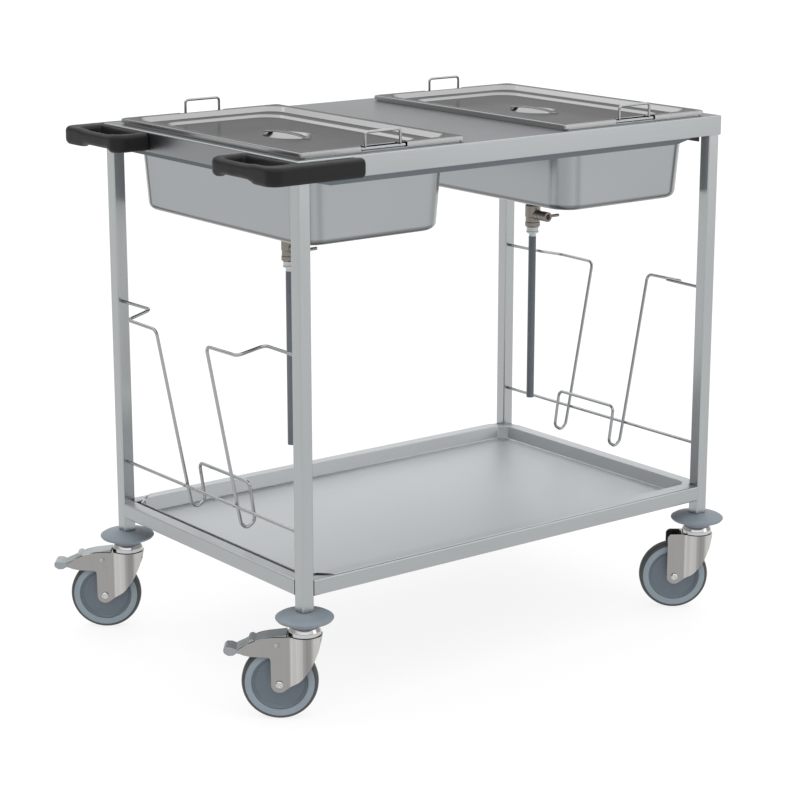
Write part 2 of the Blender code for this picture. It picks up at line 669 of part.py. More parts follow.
def pedal(name, axis):
    """Foot lever between the fork cheeks, on the pivot, with a release tab and a toe bar."""
    px, pz = PEDAL_PIVOT
    pivot = empty(f"pedal_axis_{name}", (px, 0.0, pz), parent=axis)
    outline = [(0.0285, 0.1280), (0.0620, 0.1275), (0.0860, 0.1225), (0.1060, 0.1135),
               (0.1110, 0.1150), (0.1110, 0.1222), (0.0915, 0.1310), (0.0890, 0.1385),
               (0.0835, 0.1395), (0.0790, 0.1365), (0.0600, 0.1430), (0.0285, 0.1466)]
    bm = bmesh.new()
    prism(bm, [(x - px, z - pz) for x, z in outline], -0.0172, 0.0172, axis="Y")
    lever = finish(f"brake_pedal_{name}", bm, CASTOR_STEEL, parent=pivot)
    bm = bmesh.new()
    toe = [(0.1085, 0.1150), (0.1150, 0.1105), (0.1230, 0.1100), (0.1300, 0.1145), (0.1312, 0.1205), (0.1265, 0.1248),
           (0.1180, 0.1244), (0.1100, 0.1212)]
    prism(bm, [(x - px, z - pz) for x, z in toe], -0.0175, 0.0175, axis="Y")
    boolean(lever, finish(f"pedal_toe_{name}", bm, CASTOR_STEEL, parent=pivot), "UNION")


table_top()
top_frame()
legs()
shelf()
push_handles()
for pan_key in PAN_OFFSETS:
    pan(pan_key)
racks()
for corner_name in CORNERS:
    castor(corner_name, corner_name in BRAKED)
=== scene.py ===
"""Looks for the stainless ward trolley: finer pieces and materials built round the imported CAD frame."""
import json
import math

import bmesh
import bpy
from mathutils import Matrix, Vector


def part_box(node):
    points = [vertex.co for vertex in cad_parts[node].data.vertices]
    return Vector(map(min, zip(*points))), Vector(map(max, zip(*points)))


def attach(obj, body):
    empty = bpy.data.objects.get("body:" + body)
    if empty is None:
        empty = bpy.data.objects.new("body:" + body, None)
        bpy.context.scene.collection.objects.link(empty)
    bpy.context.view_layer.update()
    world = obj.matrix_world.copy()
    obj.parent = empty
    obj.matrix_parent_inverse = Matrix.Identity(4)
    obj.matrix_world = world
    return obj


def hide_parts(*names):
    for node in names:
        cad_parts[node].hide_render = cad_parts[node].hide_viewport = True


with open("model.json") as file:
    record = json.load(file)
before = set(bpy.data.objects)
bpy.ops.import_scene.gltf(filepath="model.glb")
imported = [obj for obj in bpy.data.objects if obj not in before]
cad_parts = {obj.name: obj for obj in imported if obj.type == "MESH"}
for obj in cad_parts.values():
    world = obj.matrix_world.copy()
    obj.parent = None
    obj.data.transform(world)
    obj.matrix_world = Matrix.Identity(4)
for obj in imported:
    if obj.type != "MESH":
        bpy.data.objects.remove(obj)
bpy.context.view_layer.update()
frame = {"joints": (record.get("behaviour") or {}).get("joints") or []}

# ---------------------------------------------------------------- places read from the frame
TOP_LOW, TOP_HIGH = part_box("table_top")
MID = (TOP_LOW + TOP_HIGH) / 2
HALF_L = (TOP_HIGH.x - TOP_LOW.x) / 2
HALF_W = (TOP_HIGH.y - TOP_LOW.y) / 2
TOP = TOP_HIGH.z
APRON = TOP_HIGH.z - TOP_LOW.z
SHEET = 0.0015
LEG = 0.023
LEG_X = HALF_L - 0.0145
LEG_Y = HALF_W - 0.0145
CORNERS = {
    "handle_end_far": (-1, 1), "handle_end_near": (-1, -1),
    "far_end_far": (1, 1), "far_end_near": (1, -1),
}
WHEEL_AXIS = Vector(next(j["axis"] for j in frame["joints"] if j["name"].startswith("wheel_")))
CASTOR_TURN = math.atan2(-WHEEL_AXIS.x, WHEEL_AXIS.y)
TRAIL, WHEEL_R = 0.0407, 0.0625
PEDAL_PIVOT = Vector((0.0434, 0.0, 0.1294))


# ---------------------------------------------------------------- materials
class Nodes:
    """A small helper that adds and links shader nodes of one material."""

    def __init__(self, name, colour, roughness, metallic=0.0):
        self.material = bpy.data.materials.new(name)
        self.material.use_nodes = True
        self.tree = self.material.node_tree
        self.shader = self.tree.nodes["Principled BSDF"]
        self.shader.inputs["Metallic"].default_value = metallic
        self.shader.inputs["Base Color"].default_value = (*colour, 1.0)
        self.shader.inputs["Roughness"].default_value = roughness
        self.coords = self.tree.nodes.new("ShaderNodeTexCoord").outputs["Object"]

    def noise(self, scale, detail=3.0, rough=0.5):
        """Noise stretched by a scale per axis, in metres."""
        mapping = self.tree.nodes.new("ShaderNodeMapping")
        mapping.inputs["Scale"].default_value = scale
        self.tree.links.new(self.coords, mapping.inputs["Vector"])
        node = self.tree.nodes.new("ShaderNodeTexNoise")
        node.inputs["Scale"].default_value = 1.0
        node.inputs["Detail"].default_value = detail
        node.inputs["Roughness"].default_value = rough
        self.tree.links.new(mapping.outputs["Vector"], node.inputs["Vector"])
        return node.outputs["Fac"]

    def span(self, value, low, high, start=0.3, end=0.7):
        """Spread a value from start..end over low..high."""
        node = self.tree.nodes.new("ShaderNodeMapRange")
        node.inputs["From Min"].default_value = start
        node.inputs["From Max"].default_value = end
        node.inputs["To Min"].default_value = low
        node.inputs["To Max"].default_value = high
        self.tree.links.new(value, node.inputs["Value"])
        return node.outputs["Result"]

    def maths(self, kind, a, b):
        """A Math node of two values or numbers."""
        node = self.tree.nodes.new("ShaderNodeMath")
        node.operation = kind
        for socket, value in zip(node.inputs, (a, b)):
            if isinstance(value, (int, float)):
                socket.default_value = value
            else:
                self.tree.links.new(value, socket)
        return node.outputs["Value"]

    def mix(self, factor, first, second):
        """Colour mixed from two by a factor."""
        node = self.tree.nodes.new("ShaderNodeMix")
        node.data_type = "RGBA"
        node.inputs["A"].default_value = (*first, 1.0)
        node.inputs["B"].default_value = (*second, 1.0)
        self.tree.links.new(factor, node.inputs["Factor"])
        return node.outputs["Result"]

    def bump(self, height, strength, distance):
        """Feed a height to the shader's normal."""
        node = self.tree.nodes.new("ShaderNodeBump")
        node.inputs["Strength"].default_value = strength
        node.inputs["Distance"].default_value = distance
        self.tree.links.new(height, node.inputs["Height"])
        self.tree.links.new(node.outputs["Normal"], self.shader.inputs["Normal"])

    def to(self, value, name):
        """Link a value to one of the shader's sockets."""
        self.tree.links.new(value, self.shader.inputs[name])


def shade(colour, factor):
    """A colour made darker or lighter."""
    return tuple(min(1.0, c * factor) for c in colour)


def banded(material, direction, stops):
    """Tint a metal's own colour in soft bands by the way its surface faces.

    The bands are painted: they imitate studio reflections and don't follow the lights.
    """
    tree = material.node_tree
    shader = tree.nodes["Principled BSDF"]
    facing = tree.nodes.new("ShaderNodeTexCoord").outputs["Normal"]
    along = tree.nodes.new("ShaderNodeVectorMath")
    along.operation = "DOT_PRODUCT"
    along.inputs[1].default_value = direction
    tree.links.new(facing, along.inputs[0])
    spread = tree.nodes.new("ShaderNodeMapRange")
    spread.inputs["From Min"].default_value = -1.0
    spread.inputs["From Max"].default_value = 1.0
    tree.links.new(along.outputs["Value"], spread.inputs["Value"])
    ramp = tree.nodes.new("ShaderNodeValToRGB")
    elements = ramp.color_ramp.elements
    while len(elements) > 1:
        elements.remove(elements[-1])
    for index, (place, level) in enumerate(stops):
        stop = elements[0] if index == 0 else elements.new((place + 1) / 2)
        stop.position = (place + 1) / 2
        stop.color = (level, level, level, 1.0)
    tree.links.new(spread.outputs["Result"], ramp.inputs["Fac"])
    mix = tree.nodes.new("ShaderNodeMix")
    mix.data_type = "RGBA"
    mix.blend_type = "MULTIPLY"
    mix.inputs["Factor"].default_value = 1.0
    before = shader.inputs["Base Color"].links[0].from_socket
    tree.links.new(before, mix.inputs["A"])
    tree.links.new(ramp.outputs["Color"], mix.inputs["B"])
    tree.links.new(mix.outputs["Result"], shader.inputs["Base Color"])


def brushed(name, colour, roughness, grain, spread=0.025, contrast=0.025, depth=0.03):
    """Metal with fine lines along one axis, soft smears and a little tone variation."""
    made = Nodes(name, colour, roughness, 1.0)
    across = [620.0, 620.0, 620.0]
    across["XYZ".index(grain)] = 7.0
    lines = made.noise(across, 4.0, 0.6)
    smears = made.noise((4.0, 4.0, 4.0), 2.0, 0.45)
    blend = made.maths("ADD", made.maths("MULTIPLY", lines, 0.5), made.maths("MULTIPLY", smears, 0.5))
    made.to(made.mix(made.span(blend, 0.0, 1.0, 0.38, 0.62), shade(colour, 1 - contrast),
                     shade(colour, 1 + contrast)), "Base Color")
    made.to(made.span(blend, roughness - spread, roughness + spread, 0.35, 0.65), "Roughness")
    made.bump(lines, depth, 0.0002)
    return made.material


def satin(name, colour, roughness, grain_size=0.0016, contrast=0.025, depth=0.03, spread=0.025):
    """Metal with an even fine grain and soft smears."""
    made = Nodes(name, colour, roughness, 1.0)
    fine = made.noise((1 / grain_size,) * 3, 2.0, 0.5)
    smears = made.noise((5.0, 5.0, 5.0), 2.0, 0.45)
    made.to(made.mix(made.span(smears, 0.0, 1.0), shade(colour, 1 - contrast), shade(colour, 1 + contrast)),
            "Base Color")
    made.to(made.span(smears, roughness - spread, roughness + spread), "Roughness")
    made.bump(fine, depth, 0.0001)
    return made.material


def moulded(name, colour, roughness, grain_size=0.0009, contrast=0.12, depth=0.25, specular=0.5):
    """Moulded plastic or rubber with a fine skin texture and faint scuffs."""
    made = Nodes(name, colour, roughness)
    made.shader.inputs["Specular IOR Level"].default_value = specular
    skin = made.noise((1 / grain_size,) * 3, 2.0, 0.6)
    scuffs = made.noise((38.0, 38.0, 38.0), 5.0, 0.65)
    made.to(made.mix(made.span(scuffs, 0.0, 1.0), shade(colour, 1 - contrast), shade(colour, 1 + contrast)),
            "Base Color")
    made.to(made.span(scuffs, roughness - 0.07, roughness + 0.07), "Roughness")
    made.bump(skin, depth, 0.0003)
    return made.material


STEEL_X = brushed("steel_brushed_along", (0.375, 0.390, 0.397), 0.30, "X")
TRAY_STEEL = brushed("steel_brushed_tray", (0.46, 0.478, 0.486), 0.46, "X")
PLATE_STEEL = brushed("steel_brushed_top", (0.36, 0.375, 0.382), 0.30, "X")
STEEL_Y = brushed("steel_brushed_across", (0.375, 0.390, 0.397), 0.30, "Y")
STEEL_Z = brushed("steel_brushed_upright", (0.385, 0.400, 0.405), 0.24, "Z")
PAN_STEEL = satin("steel_drawn_pan", (0.350, 0.365, 0.373), 0.20)
LID_STEEL = satin("steel_pressed_lid", (0.34, 0.34, 0.34), 0.24)
# Painted shade: the frame under the top gets a much darker steel colour, standing in for the shadow of the
# table top.
SHADED_FRAME_STEEL = satin("steel_under_frame_painted_shade", (0.12, 0.135, 0.145), 0.40)
WIRE = satin("wire_drawn", (0.35, 0.36, 0.365), 0.18)
ZINC = brushed("castor_zinc_plate", (0.52, 0.510, 0.495), 0.20, "Z", contrast=0.04)
PEDAL = satin("pedal_zinc_plate", (0.30, 0.32, 0.33), 0.26)
POLISHED = satin("polished_ring", (0.52, 0.52, 0.52), 0.12, contrast=0.03, depth=0.02, spread=0.03)
BLACK = moulded("black_handle", (0.010, 0.010, 0.010), 0.46, depth=0.20, specular=0.20)
BUMPER = moulded("grey_bumper_skin", (0.185, 0.215, 0.245), 0.55, contrast=0.06, depth=0.10)
TYRE = moulded("tyre_side_ring", (0.225, 0.270, 0.305), 0.60, contrast=0.06, depth=0.12)
# Painted shade: the running face is much darker than the side ring, standing in for the rounded tread turned
# away from the light; the rubber itself is the grey of the side ring.
TREAD_SHADE = moulded("tyre_running_face_painted_shade", (0.055, 0.060, 0.060), 0.72, contrast=0.20, depth=0.30)
HUB = moulded("wheel_hub_moulding", (0.115, 0.142, 0.168), 0.45, contrast=0.06, depth=0.10)
NICKEL = satin("valve_nickel_plate", (0.225, 0.205, 0.182), 0.30, contrast=0.10, depth=0.10)
# Painted shade: a near-black metal for the floor of the recess in the lever cap, standing in for the shade in
# that hollow.
RECESS_SHADE_METAL = satin("valve_recess_painted_shade", (0.05, 0.045, 0.04), 0.45)
TAIL = moulded("hose_tail_translucent", (0.58, 0.60, 0.60), 0.35, contrast=0.05, depth=0.08)
HOSE = moulded("hose_skin", (0.105, 0.125, 0.145), 0.42, contrast=0.08, depth=0.10)

UP, ALONG = (0.0, 0.0, 1.0), (1.0, 0.0, 0.0)
CASTOR_AHEAD = (-WHEEL_AXIS.y, WHEEL_AXIS.x, 0.0)
LID_STEEL.node_tree.nodes["Principled BSDF"].inputs["Specular Tint"].default_value = (0.72, 0.72, 0.72, 1.0)

# Painted stand-ins for reflections: (how far the surface faces along the direction, tint).
banded(LID_STEEL, UP, [
    (-1.0, 0.7), (-0.1, 0.95), (0.2, 1.0), (0.5, 0.92), (0.88, 0.80), (0.97, 0.42), (1.0, 0.36)])
banded(ZINC, CASTOR_AHEAD, [
    (-1.0, 0.75), (-0.72, 0.80), (-0.45, 1.0), (-0.12, 0.85), (-0.03, 0.60), (0.03, 0.60), (0.14, 0.48),
    (0.36, 0.52), (0.55, 0.95), (0.80, 1.0), (1.0, 0.70)])
banded(PAN_STEEL, UP, [(-1.0, 0.52), (-0.45, 0.50), (-0.20, 0.97), (0.0, 1.0), (1.0, 1.0)])
banded(PAN_STEEL, ALONG, [
    (-1.0, 0.97), (-0.97, 0.95), (-0.88, 0.80), (-0.66, 0.86), (-0.44, 1.0), (-0.26, 0.80),
    (-0.10, 0.98), (0.0, 1.0), (0.12, 0.96), (0.30, 0.78), (0.55, 1.0), (1.0, 1.0)])
banded(PLATE_STEEL, UP, [
    (-1.0, 0.9), (0.0, 0.93), (0.3, 1.0), (0.85, 1.0), (0.98, 0.78), (1.0, 0.73)])
banded(PLATE_STEEL, ALONG, [(-1.0, 0.70), (-0.85, 0.74), (-0.4, 1.0), (1.0, 1.0)])


# ---------------------------------------------------------------- mesh helpers
def make(name, bm, mats, body, nodes=(), place=None, sharp=32.0, weighted=True):
    """Turn a bmesh into a smooth-shaded piece that rides on a CAD body."""
    if place is not None:
        bmesh.ops.transform(bm, matrix=place, verts=bm.verts)
    bmesh.ops.recalc_face_normals(bm, faces=bm.faces)
    mesh = bpy.data.meshes.new(name)
    bm.to_mesh(mesh)
    bm.free()
    mesh.shade_smooth()
    mesh.set_sharp_from_angle(angle=math.radians(sharp))
    obj = bpy.data.objects.new(name, mesh)
    bpy.context.scene.collection.objects.link(obj)
    for mat in mats if isinstance(mats, (list, tuple)) else [mats]:
        mesh.materials.append(mat)
    if weighted:
        obj.modifiers.new("normals", "WEIGHTED_NORMAL").keep_sharp = True
    if body:
        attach(obj, body)
    if nodes:
        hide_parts(*([nodes] if isinstance(nodes, str) else nodes))
    return obj


def fillet(points, radius, closed=False, steps=5):
    """Round the corners of a polyline with tangent arcs. The radius is one number or one per point."""
    points = [Vector(p) for p in points]
    count = len(points)
    out = []
    for i, corner in enumerate(points):
        r = radius[i] if isinstance(radius, (list, tuple)) else radius
        if r <= 0 or (not closed and i in (0, count - 1)):
            out.append(corner)
            continue
        back, ahead = points[i - 1] - corner, points[(i + 1) % count] - corner
        room = min(back.length, ahead.length) * 0.495
        back.normalize()
        ahead.normalize()
        angle = back.angle(ahead)
        if angle > math.pi - 0.01:
            out.append(corner)
            continue
        reach = min(r / math.tan(angle / 2), room)
        r = reach * math.tan(angle / 2)
        centre = corner + (back + ahead).normalized() * (r / math.sin(angle / 2))
        start, end = corner + back * reach - centre, corner + ahead * reach - centre
        sweep = start.angle(end)
        for k in range(steps + 1):
            t = k / steps
            spoke = (start * math.sin((1 - t) * sweep) + end * math.sin(t * sweep)) / math.sin(sweep)
            out.append(centre + spoke)
    return out


def loft(bm, rings, loop=False, caps=True, mat=0):
    """Bridge rings of equal length, and cap the ends or join the last to the first."""
    rows = [[bm.verts.new(p) for p in ring] for ring in rings]
    pairs = list(zip(rows, rows[1:]))
    if loop:
        pairs.append((rows[-1], rows[0]))
    count = len(rows[0])
    for a, b in pairs:
        for i in range(count):
            j = (i + 1) % count
            bm.faces.new((a[i], a[j], b[j], b[i])).material_index = mat
    if caps and not loop:
        bm.faces.new(list(reversed(rows[0]))).material_index = mat
        bm.faces.new(rows[-1]).material_index = mat
    return rows


def rect_ring(cx, cy, half_x, half_y, radius, z, steps=8):
    """A rounded rectangle in plan."""
    ring = []
    radius = max(radius, 0.0002)
    for quarter, (sx, sy) in enumerate(((1, 1), (-1, 1), (-1, -1), (1, -1))):
        mx, my = cx + sx * (half_x - radius), cy + sy * (half_y - radius)
        for step in range(steps + 1):
            a = math.pi / 2 * (quarter + step / steps)
            ring.append((mx + radius * math.cos(a), my + radius * math.sin(a), z))
    return ring


def oval_ring(cx, cy, rx, ry, z, steps=8):
    """An ellipse in plan with the point count of a rounded rectangle."""
    angles = [math.pi / 2 * (q + s / (steps + 0.0)) for q in range(4) for s in range(steps + 1)]
    return [(cx + rx * math.cos(a), cy + ry * math.sin(a), z) for a in angles]


def lathe(bm, profile, segments=48, loop=False, mat_of=None):
    """Turn (radius, height) points about Z. mat_of gives a material index per band."""
    rings = []
    for radius, height in profile:
        rings.append([(radius * math.cos(math.tau * i / segments), radius * math.sin(math.tau * i / segments),
                       height) for i in range(segments)])
    first = len(bm.faces)
    loft(bm, rings, loop)
    if mat_of:
        bm.faces.ensure_lookup_table()
        for index in range(first, len(bm.faces)):
            bm.faces[index].material_index = mat_of((index - first) // segments)


def sweep(bm, path, radius, sides=14, mat=0):
    """A round wire along a smooth 3D path, with slightly rounded ends."""
    path = [Vector(p) for p in path]
    tangents = []
    for i in range(len(path)):
        before, after = path[max(i - 1, 0)], path[min(i + 1, len(path) - 1)]
        tangents.append((after - before).normalized())
    side = tangents[0].orthogonal().normalized()
    frames = []
    for tangent in tangents:
        side = (side - tangent * side.dot(tangent)).normalized()
        frames.append((side.copy(), tangent.cross(side)))
    stations = [(path[0], radius * 0.6, frames[0])]
    stations.append((path[0] + tangents[0] * radius * 0.3, radius, frames[0]))
    stations += [(p, radius, f) for p, f in zip(path[1:-1], frames[1:-1])]
    stations.append((path[-1] - tangents[-1] * radius * 0.3, radius, frames[-1]))
    stations.append((path[-1], radius * 0.6, frames[-1]))
    rings = [[p + a * (r * math.cos(math.tau * k / sides)) + b * (r * math.sin(math.tau * k / sides))
              for k in range(sides)] for p, r, (a, b) in stations]
    loft(bm, rings, mat=mat)


def soft_box(bm, low, high, radius=0.001, segments=3, mat=0):
    """A box with rounded edges."""
    low, high = Vector(low), Vector(high)
    size = high - low
    found = bmesh.ops.create_cube(bm, size=1.0, matrix=Matrix.Translation((low + high) / 2)
                                  @ Matrix.Diagonal((*size, 1.0)))
    edges = {e for v in found["verts"] for e in v.link_edges}
    for face in {f for v in found["verts"] for f in v.link_faces}:
        face.material_index = mat
    bmesh.ops.bevel(bm, geom=list(edges), offset=min(radius, min(size) * 0.45), segments=segments,
                    affect="EDGES", profile=0.5)


def prism(bm, outline, low, high):
    """Extrude an (x, z) outline along Y."""
    loft(bm, [[(x, low, z) for x, z in outline], [(x, high, z) for x, z in outline]])


def plan_prism(bm, outline, low, high):
    """Extrude an (x, y) outline along Z."""
    loft(bm, [[(x, y, low) for x, y in outline], [(x, y, high) for x, y in outline]])


def arc(centre, radius, start, end, steps):
    """Points on an arc, with angles in degrees."""
    return [(centre[0] + radius * math.cos(math.radians(start + (end - start) * i / steps)),
             centre[1] + radius * math.sin(math.radians(start + (end - start) * i / steps)))
            for i in range(steps + 1)]


def solid(bm):
    """A plain temporary object from a bmesh, for boolean work."""
    bmesh.ops.recalc_face_normals(bm, faces=bm.faces)
    mesh = bpy.data.meshes.new("temporary")
    bm.to_mesh(mesh)
    bm.free()
    obj = bpy.data.objects.new("temporary", mesh)
    bpy.context.scene.collection.objects.link(obj)
    return obj


def carve(obj, *steps):
    """Apply boolean steps of (operation, bmesh) to a temporary object and return a bmesh."""
    cutters = []
    for operation, bm in steps:
        cutter = solid(bm)
        cutters.append(cutter)
        mod = obj.modifiers.new("carve", "BOOLEAN")
        mod.operation, mod.object, mod.solver = operation, cutter, "EXACT"
    bpy.context.view_layer.update()
    result = bpy.data.meshes.new_from_object(obj.evaluated_get(bpy.context.evaluated_depsgraph_get()))
    made = bmesh.new()
    made.from_mesh(result)
    for old in [obj, *cutters]:
        bpy.data.objects.remove(old, do_unlink=True)
    bpy.data.meshes.remove(result)
    return made


def bevel_sharp(bm, offset, segments=2, angle=35.0):
    """Round the sharp edges of a carved bmesh."""
    bmesh.ops.remove_doubles(bm, verts=bm.verts, dist=1e-6)
    bmesh.ops.dissolve_limit(bm, angle_limit=math.radians(0.5), verts=bm.verts, edges=bm.edges)
    edges = [e for e in bm.edges if len(e.link_faces) == 2 and e.calc_face_angle(0.0) > math.radians(angle)]
    bmesh.ops.bevel(bm, geom=edges, offset=offset, segments=segments, affect="EDGES", profile=0.5,
                    clamp_overlap=True)


# ---------------------------------------------------------------- table and frame
def hole_rings(key, z):
    """Outline of the opening that a pan hangs in."""
    low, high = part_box(f"pan_{key}")
    mid = (low + high) / 2
    half_x, half_y = (high.x - low.x) / 2 + 0.001 - 0.0105, (high.y - low.y) / 2 + 0.001 - 0.0105
    return rect_ring(mid.x, mid.y, half_x, half_y, 0.042, z)


def table_top():
    """Folded sheet with rounded edges, an apron and the two pan openings."""
    profile = fillet([(SHEET, -SHEET), (SHEET, -APRON), (0.0, -APRON), (0.0, 0.0), (0.006, 0.0)],
                     [0, 0.0006, 0.0006, 0.0028, 0], steps=5)
    bm = bmesh.new()
    rings = [rect_ring(MID.x, MID.y, HALF_L - inset, HALF_W - inset, max(0.0035 - inset, 0.001), TOP + z, 5)
             for inset, z in profile]
    rows = loft(bm, rings, caps=False)
    for row, z in ((rows[-1], TOP), (rows[0], TOP - SHEET)):
        edges = [bm.edges.get((row[i - 1], row[i])) for i in range(len(row))]
        for key in "12":
            hole = [bm.verts.new(p) for p in hole_rings(key, z)]
            edges += [bm.edges.new((hole[i - 1], hole[i])) for i in range(len(hole))]
        bmesh.ops.triangle_fill(bm, use_beauty=True, edges=edges)
    for key in "12":
        loft(bm, [hole_rings(key, TOP - SHEET), hole_rings(key, TOP)], caps=False)
    bmesh.ops.remove_doubles(bm, verts=bm.verts, dist=1e-5)
    make("table_top_sheet", bm, PLATE_STEEL, "trolley", "table_top")


def top_frame():
    """Flat bar on edge under the top, its long sides cut back in a slope beside the legs."""
    low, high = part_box("top_frame")
    bar, slope = 0.0016, 0.055
    bm = bmesh.new()
    for y0, y1 in ((low.y, low.y + bar), (high.y - bar, high.y)):
        side = [(low.x, high.z), (high.x, high.z), (high.x, TOP - APRON - 0.001),
                (high.x - slope, low.z), (low.x + slope, low.z), (low.x, TOP - APRON - 0.001)]
        prism(bm, side, y0, y1)
    for x0, x1 in ((low.x, low.x + bar), (high.x - bar, high.x)):
        soft_box(bm, (x0, low.y + bar, low.z), (x1, high.y - bar, high.z), 0.0004, 2)
    # The frame's dark material is painted shade, not the colour of its steel.
    make("top_frame_bars", bm, SHADED_FRAME_STEEL, "trolley", "top_frame")


def tube_section(half_a, half_b, radius, steps=4):
    """Rounded section of a rectangular tube as (a, b) pairs."""
    return [(x, y) for x, y, _ in rect_ring(0, 0, half_a, half_b, radius, 0, steps)]


def legs():
    """Square tubes with rounded edges, hollow, with a slight chamfer at the foot."""
    for name, (sx, sy) in CORNERS.items():
        low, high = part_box(f"leg_{name}")
        cx, cy = (low.x + high.x) / 2, (low.y + high.y) / 2
        bm = bmesh.new()
        section = tube_section(LEG / 2, LEG / 2, 0.0026, 6)
        inner = tube_section(LEG / 2 - SHEET, LEG / 2 - SHEET, 0.0012, 6)
        bore = [[(cx + a, cy + b, z) for a, b in inner] for z in (high.z, low.z)]
        skin = [[(cx + a * k, cy + b * k, z) for a, b in section]
                for k, z in ((0.985, low.z), (1.0, low.z + 0.0004), (1.0, high.z))]
        loft(bm, bore + skin, loop=True)
        make(f"leg_tube_{name}", bm, STEEL_Z, "trolley", f"leg_{name}")


def rails():
    """Shelf rails as rounded rectangular tubes with open ends against the legs."""
    for name, along in (("near_side", 0), ("far_side", 0), ("handle_end", 1), ("far_end", 1)):
        low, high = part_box(f"shelf_rail_{name}")
        mid = (low + high) / 2
        bm = bmesh.new()
        section = tube_section(LEG / 2, (high.z - low.z) / 2, 0.0026, 6)
        inner = tube_section(LEG / 2 - SHEET, (high.z - low.z) / 2 - SHEET, 0.0012, 6)

        def ring(shape, end):
            if along:
                return [(mid.x + a, end, mid.z + b) for a, b in shape]
            return [(end, mid.y + a, mid.z + b) for a, b in shape]
        ends = (low[along], high[along])
        loft(bm, [ring(section, ends[0]), ring(section, ends[1]), ring(inner, ends[1]), ring(inner, ends[0])],
             loop=True)
        make(f"rail_tube_{name}", bm, STEEL_Y if along else STEEL_X, "trolley", f"shelf_rail_{name}")


def tray():
    """Folded tray whose corners are cut back round the legs and whose flanges lie on three rails."""
    low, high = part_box("shelf_tray")
    rail_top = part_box("shelf_rail_near_side")[1].z
    out = LEG_X + LEG / 2
    wall_y = LEG_Y + LEG / 2 - LEG - 0.001
    x0, x1 = -(out - LEG - 0.0025), out - LEG - 0.001
    flange_x, flange_y = out - 0.002, LEG_Y + LEG / 2 - 0.002
    cut, lip_cut = 0.014, LEG + 0.018

    def outline(left, right, side, corner, z, radius):
        plan = [(right, -side + corner), (right, side - corner), (right - corner, side),
                (left + corner, side), (left, side - corner), (left, -side + corner),
                (left + corner, -side), (right - corner, -side)]
        return [(MID.x + x, MID.y + y, z) for x, y in fillet(plan, radius, closed=True, steps=3)]
    bm = bmesh.new()
    floor, lip = low.z, high.z
    bend = fillet([(0.030, floor + SHEET), (0.0055, floor + SHEET), (0.0, lip)], 0.0022, steps=5)
    rings = []
    for inset, z in bend[:-1]:
        grow = SHEET + inset
        rings.append(outline(x0 + grow, x1 - grow, wall_y - grow, cut, z, 0.004))
    rings.append(outline(x0 + SHEET, x1 - SHEET, wall_y - SHEET, cut, lip - 0.0012, 0.004))
    rings.append(outline(x0 + SHEET - 0.0004, x1 - SHEET + 0.0012, wall_y - SHEET + 0.0012, cut, lip, 0.004))
    rings.append(outline(x0 + 0.0002, flange_x - 0.0008, flange_y - 0.0008, lip_cut, lip, 0.003))
    rings.append(outline(x0, flange_x, flange_y, lip_cut, lip - 0.0006, 0.003))
    rings.append(outline(x0, flange_x, flange_y, lip_cut, rail_top + 0.0003, 0.003))
    rings.append(outline(x0, x1, wall_y, cut, rail_top + 0.0003, 0.004))
    rings.append(outline(x0, x1, wall_y, cut, floor, 0.004))
    loft(bm, rings)
    make("shelf_tray_sheet", bm, TRAY_STEEL, "trolley", "shelf_tray")


# ---------------------------------------------------------------- push handles
def ribbon(bm, pairs, radius, loop=False):
    """Loft rounded sections, each spanned between two plan points with a low and high z."""
    rings = []
    for (ax, ay), (bx, by), low, high in pairs:
        a, b = Vector((ax, ay)), Vector((bx, by))
        width, height = (b - a).length, high - low
        r = min(radius, width * 0.49, height * 0.49)
        ring = []
        for x, z, _ in rect_ring(width / 2, (low + high) / 2, width / 2, height / 2, r, 0, 5):
            p = a + (b - a) * (x / width)
            ring.append((p.x, p.y, z))
        rings.append(ring)
    loft(bm, rings, loop=loop)


